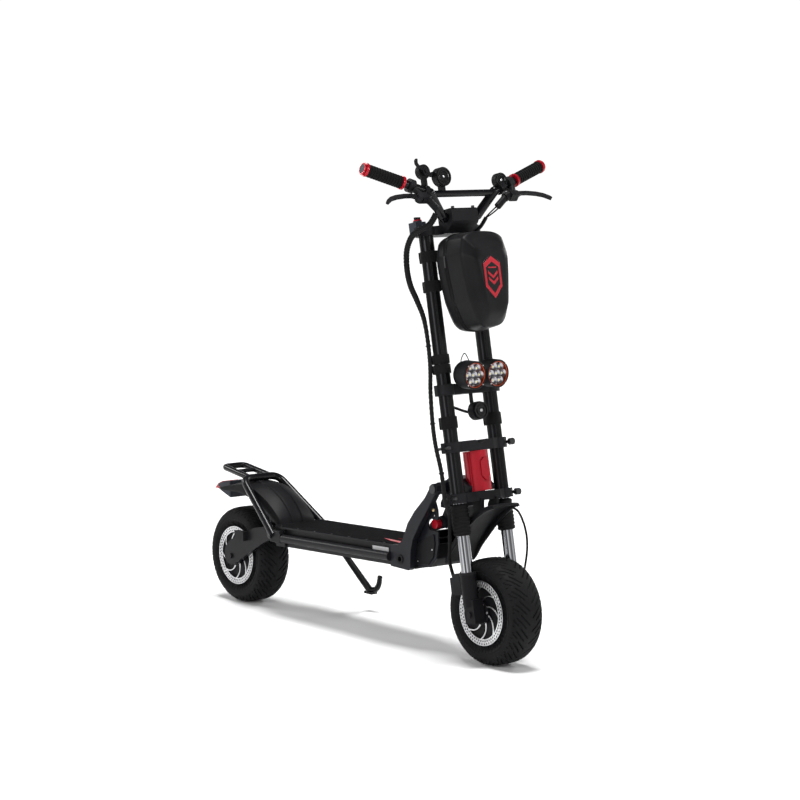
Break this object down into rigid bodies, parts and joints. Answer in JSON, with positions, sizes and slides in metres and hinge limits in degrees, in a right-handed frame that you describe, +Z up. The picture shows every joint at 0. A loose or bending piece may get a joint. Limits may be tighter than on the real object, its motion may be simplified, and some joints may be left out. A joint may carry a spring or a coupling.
{
  "type": "electric kick scooter",
  "caption": "Large black off-road electric kick scooter: fat tyres, twin stems, sprung at both ends, twin headlamps, hard front bag and a folding neck.",
  "frame": {"origin": "centre of the footprint box on the floor, under the deck", "axes": "+X forward, +Y to the rider's left, +Z up"},
  "size_m": [1.396, 0.6152, 1.3088],
  "materials": {
    "frame_black": "satin",
    "mat_rubber": "ribbed",
    "black_plastic": "fine grain",
    "neck_grey": "satin",
    "bracket_black": "satin",
    "red_lens": "clear red",
    "steel": "bright",
    "red_anodised": "anodised",
    "stem_black": "anodised",
    "chrome": "polished",
    "grip_rubber": "matt",
    "cast_black": "satin",
    "webbing": "woven",
    "bag_shell": "soft shell",
    "cable_black": "braided",
    "lens": "clear",
    "red_plastic": "gloss",
    "tyre": "matt",
    "disc_steel": "brushed",
    "spring_red": "gloss"
  },
  "bodies": {
    "chassis": {"deck_pan": "frame_black", "deck_lid": "frame_black", "grip_mat": "mat_rubber", "side_rails": "frame_black", "power_pack": "black_plastic", "neck_arms": "neck_grey", "nose_cover": "black_plastic", "rear_hoop": "bracket_black", "rear_fender": "black_plastic", "tail_housing": "black_plastic", "tail_lens": "red_lens", "rear_bracket": "frame_black", "pivot_pins": "steel", "deck_screws": "steel", "charge_port": "black_plastic"},
    "stand": {"kickstand": "bracket_black"},
    "head": {"head_tube": "red_anodised", "fold_knuckle": "neck_grey", "head_bearings": "steel"},
    "latch": {"latch_pin": "red_anodised"},
    "steering": {"lower_clamp": "bracket_black", "stem_clamps": "bracket_black", "top_clamp": "bracket_black", "stems": "stem_black", "stanchions": "chrome", "boots": "grip_rubber", "clamp_bolts": "steel", "handlebar": "bracket_black", "grips": "grip_rubber", "grip_rings": "red_anodised", "brake_masters": "cast_black", "bar_controls": "black_plastic", "key_pod": "black_plastic", "front_fender": "black_plastic", "horn": "black_plastic", "straps": "webbing", "bag_back": "bag_shell", "loom": "cable_black", "front_hose": "cable_black"},
    "lamps": {"lamp_housings": "cast_black", "lamp_lenses": "lens"},
    "bag_door": {"bag_front": "bag_shell"},
    "lever_r": {"brake_lever_r": "cast_black"},
    "lever_l": {"brake_lever_l": "cast_black"},
    "throttle": {"throttle_trigger": "black_plastic"},
    "key": {"key_knob": "black_plastic"},
    "button": {"switch_button": "red_plastic"},
    "fork": {"fork_lowers": "cast_black", "front_caliper": "cast_black"},
    "front_wheel": {"front_tyre": "tyre", "front_hub": "cast_black", "front_rotor": "disc_steel"},
    "rear_arm": {"swingarm": "bracket_black", "rear_caliper": "cast_black"},
    "rear_wheel": {"rear_tyre": "tyre", "rear_hub": "cast_black", "rear_rotor": "disc_steel"},
    "shock_top": {"shock_bodies": "cast_black", "shock_springs": "spring_red"},
    "shock_low": {"shock_rods": "chrome"}
  },
  "joints": [
    {"name": "stand_swing", "type": "hinge", "parent": "chassis", "child": "stand", "pos_m": [-0.215, 0.084, 0.19], "axis": [0, 0.8571, 0.5151], "range_deg": [0, 78]},
    {"name": "fold", "type": "hinge", "parent": "chassis", "child": "head", "pos_m": [0.408, 0, 0.45], "axis": [0, -1, 0], "range_deg": [0, 70]},
    {"name": "latch_pull", "type": "slide", "parent": "chassis", "child": "latch", "axis": [0, -1, 0], "range_m": [0, 0.012], "stiffness_N_per_m": 400},
    {"name": "steer", "type": "hinge", "parent": "head", "child": "steering", "pos_m": [0.48248, 0, 0.49802], "axis": [-0.1946, 0, 0.9809], "range_deg": [-30, 30], "deforming": ["loom"]},
    {"name": "lamp_tilt", "type": "hinge", "parent": "steering", "child": "lamps", "pos_m": [0.46051, 0, 0.74752], "axis": [0, 1, 0], "range_deg": [-10, 10]},
    {"name": "bag_open", "type": "hinge", "parent": "steering", "child": "bag_door", "pos_m": [0.48604, 0, 0.83985], "axis": [0, 1, 0], "range_deg": [0, 50]},
    {"name": "brake_lever_r", "type": "hinge", "parent": "steering", "child": "lever_r", "pos_m": [0.44339, -0.162, 1.20901], "axis": [0.6099, 0, 0.7925], "range_deg": [-11, 0], "stiffness_Nm_per_rad": 0.6},
    {"name": "brake_lever_l", "type": "hinge", "parent": "steering", "child": "lever_l", "pos_m": [0.44339, 0.162, 1.20901], "axis": [0.6099, 0, 0.7925], "range_deg": [0, 11], "stiffness_Nm_per_rad": 0.6},
    {"name": "throttle_turn", "type": "hinge", "parent": "steering", "child": "throttle", "pos_m": [0.41486, -0.121, 1.27573], "axis": [0.9809, 0, 0.1946], "range_deg": [0, 40], "stiffness_Nm_per_rad": 0.06},
    {"name": "key_turn", "type": "hinge", "parent": "steering", "child": "key", "pos_m": [0.31285, -0.062, 1.13214], "axis": [-0.1946, 0, 0.9809], "range_deg": [0, 90]},
    {"name": "button_press", "type": "slide", "parent": "steering", "child": "button", "axis": [0.9809, 0, 0.1946], "range_m": [0, 0.0022], "stiffness_N_per_m": 300},
    {"name": "fork_travel", "type": "slide", "parent": "steering", "child": "fork", "axis": [-0.1946, 0, 0.9809], "range_m": [0, 0.055], "stiffness_N_per_m": 6500, "springref_m": -0.06, "deforming": ["front_hose"]},
    {"name": "front_spin", "type": "hinge", "parent": "fork", "child": "front_wheel", "pos_m": [0.558, 0, 0.14], "axis": [0, 1, 0], "continuous": true},
    {"name": "arm_swing", "type": "hinge", "parent": "chassis", "child": "rear_arm", "pos_m": [-0.33, 0, 0.232], "axis": [0, 1, 0], "range_deg": [0, 6.9], "stiffness_Nm_per_rad": 260, "springref_deg": -20.63, "deforming": ["shock_springs"]},
    {"name": "rear_spin", "type": "hinge", "parent": "rear_arm", "child": "rear_wheel", "pos_m": [-0.542, 0, 0.14], "axis": [0, 1, 0], "continuous": true},
    {"name": "shock_top_turn", "type": "hinge", "parent": "chassis", "child": "shock_top", "pos_m": [-0.372, 0, 0.296], "axis": [0, 1, 0], "range_deg": [0, 2.99]},
    {"name": "shock_low_turn", "type": "hinge", "parent": "rear_arm", "child": "shock_low", "pos_m": [-0.396, 0, 0.208], "axis": [0, 1, 0], "range_deg": [-3.91, 0]}
  ],
  "couplings": [
    {"joint": "shock_top_turn", "follows": "arm_swing", "ratio": 0.4333},
    {"joint": "shock_low_turn", "follows": "arm_swing", "ratio": -0.5667}
  ]
}
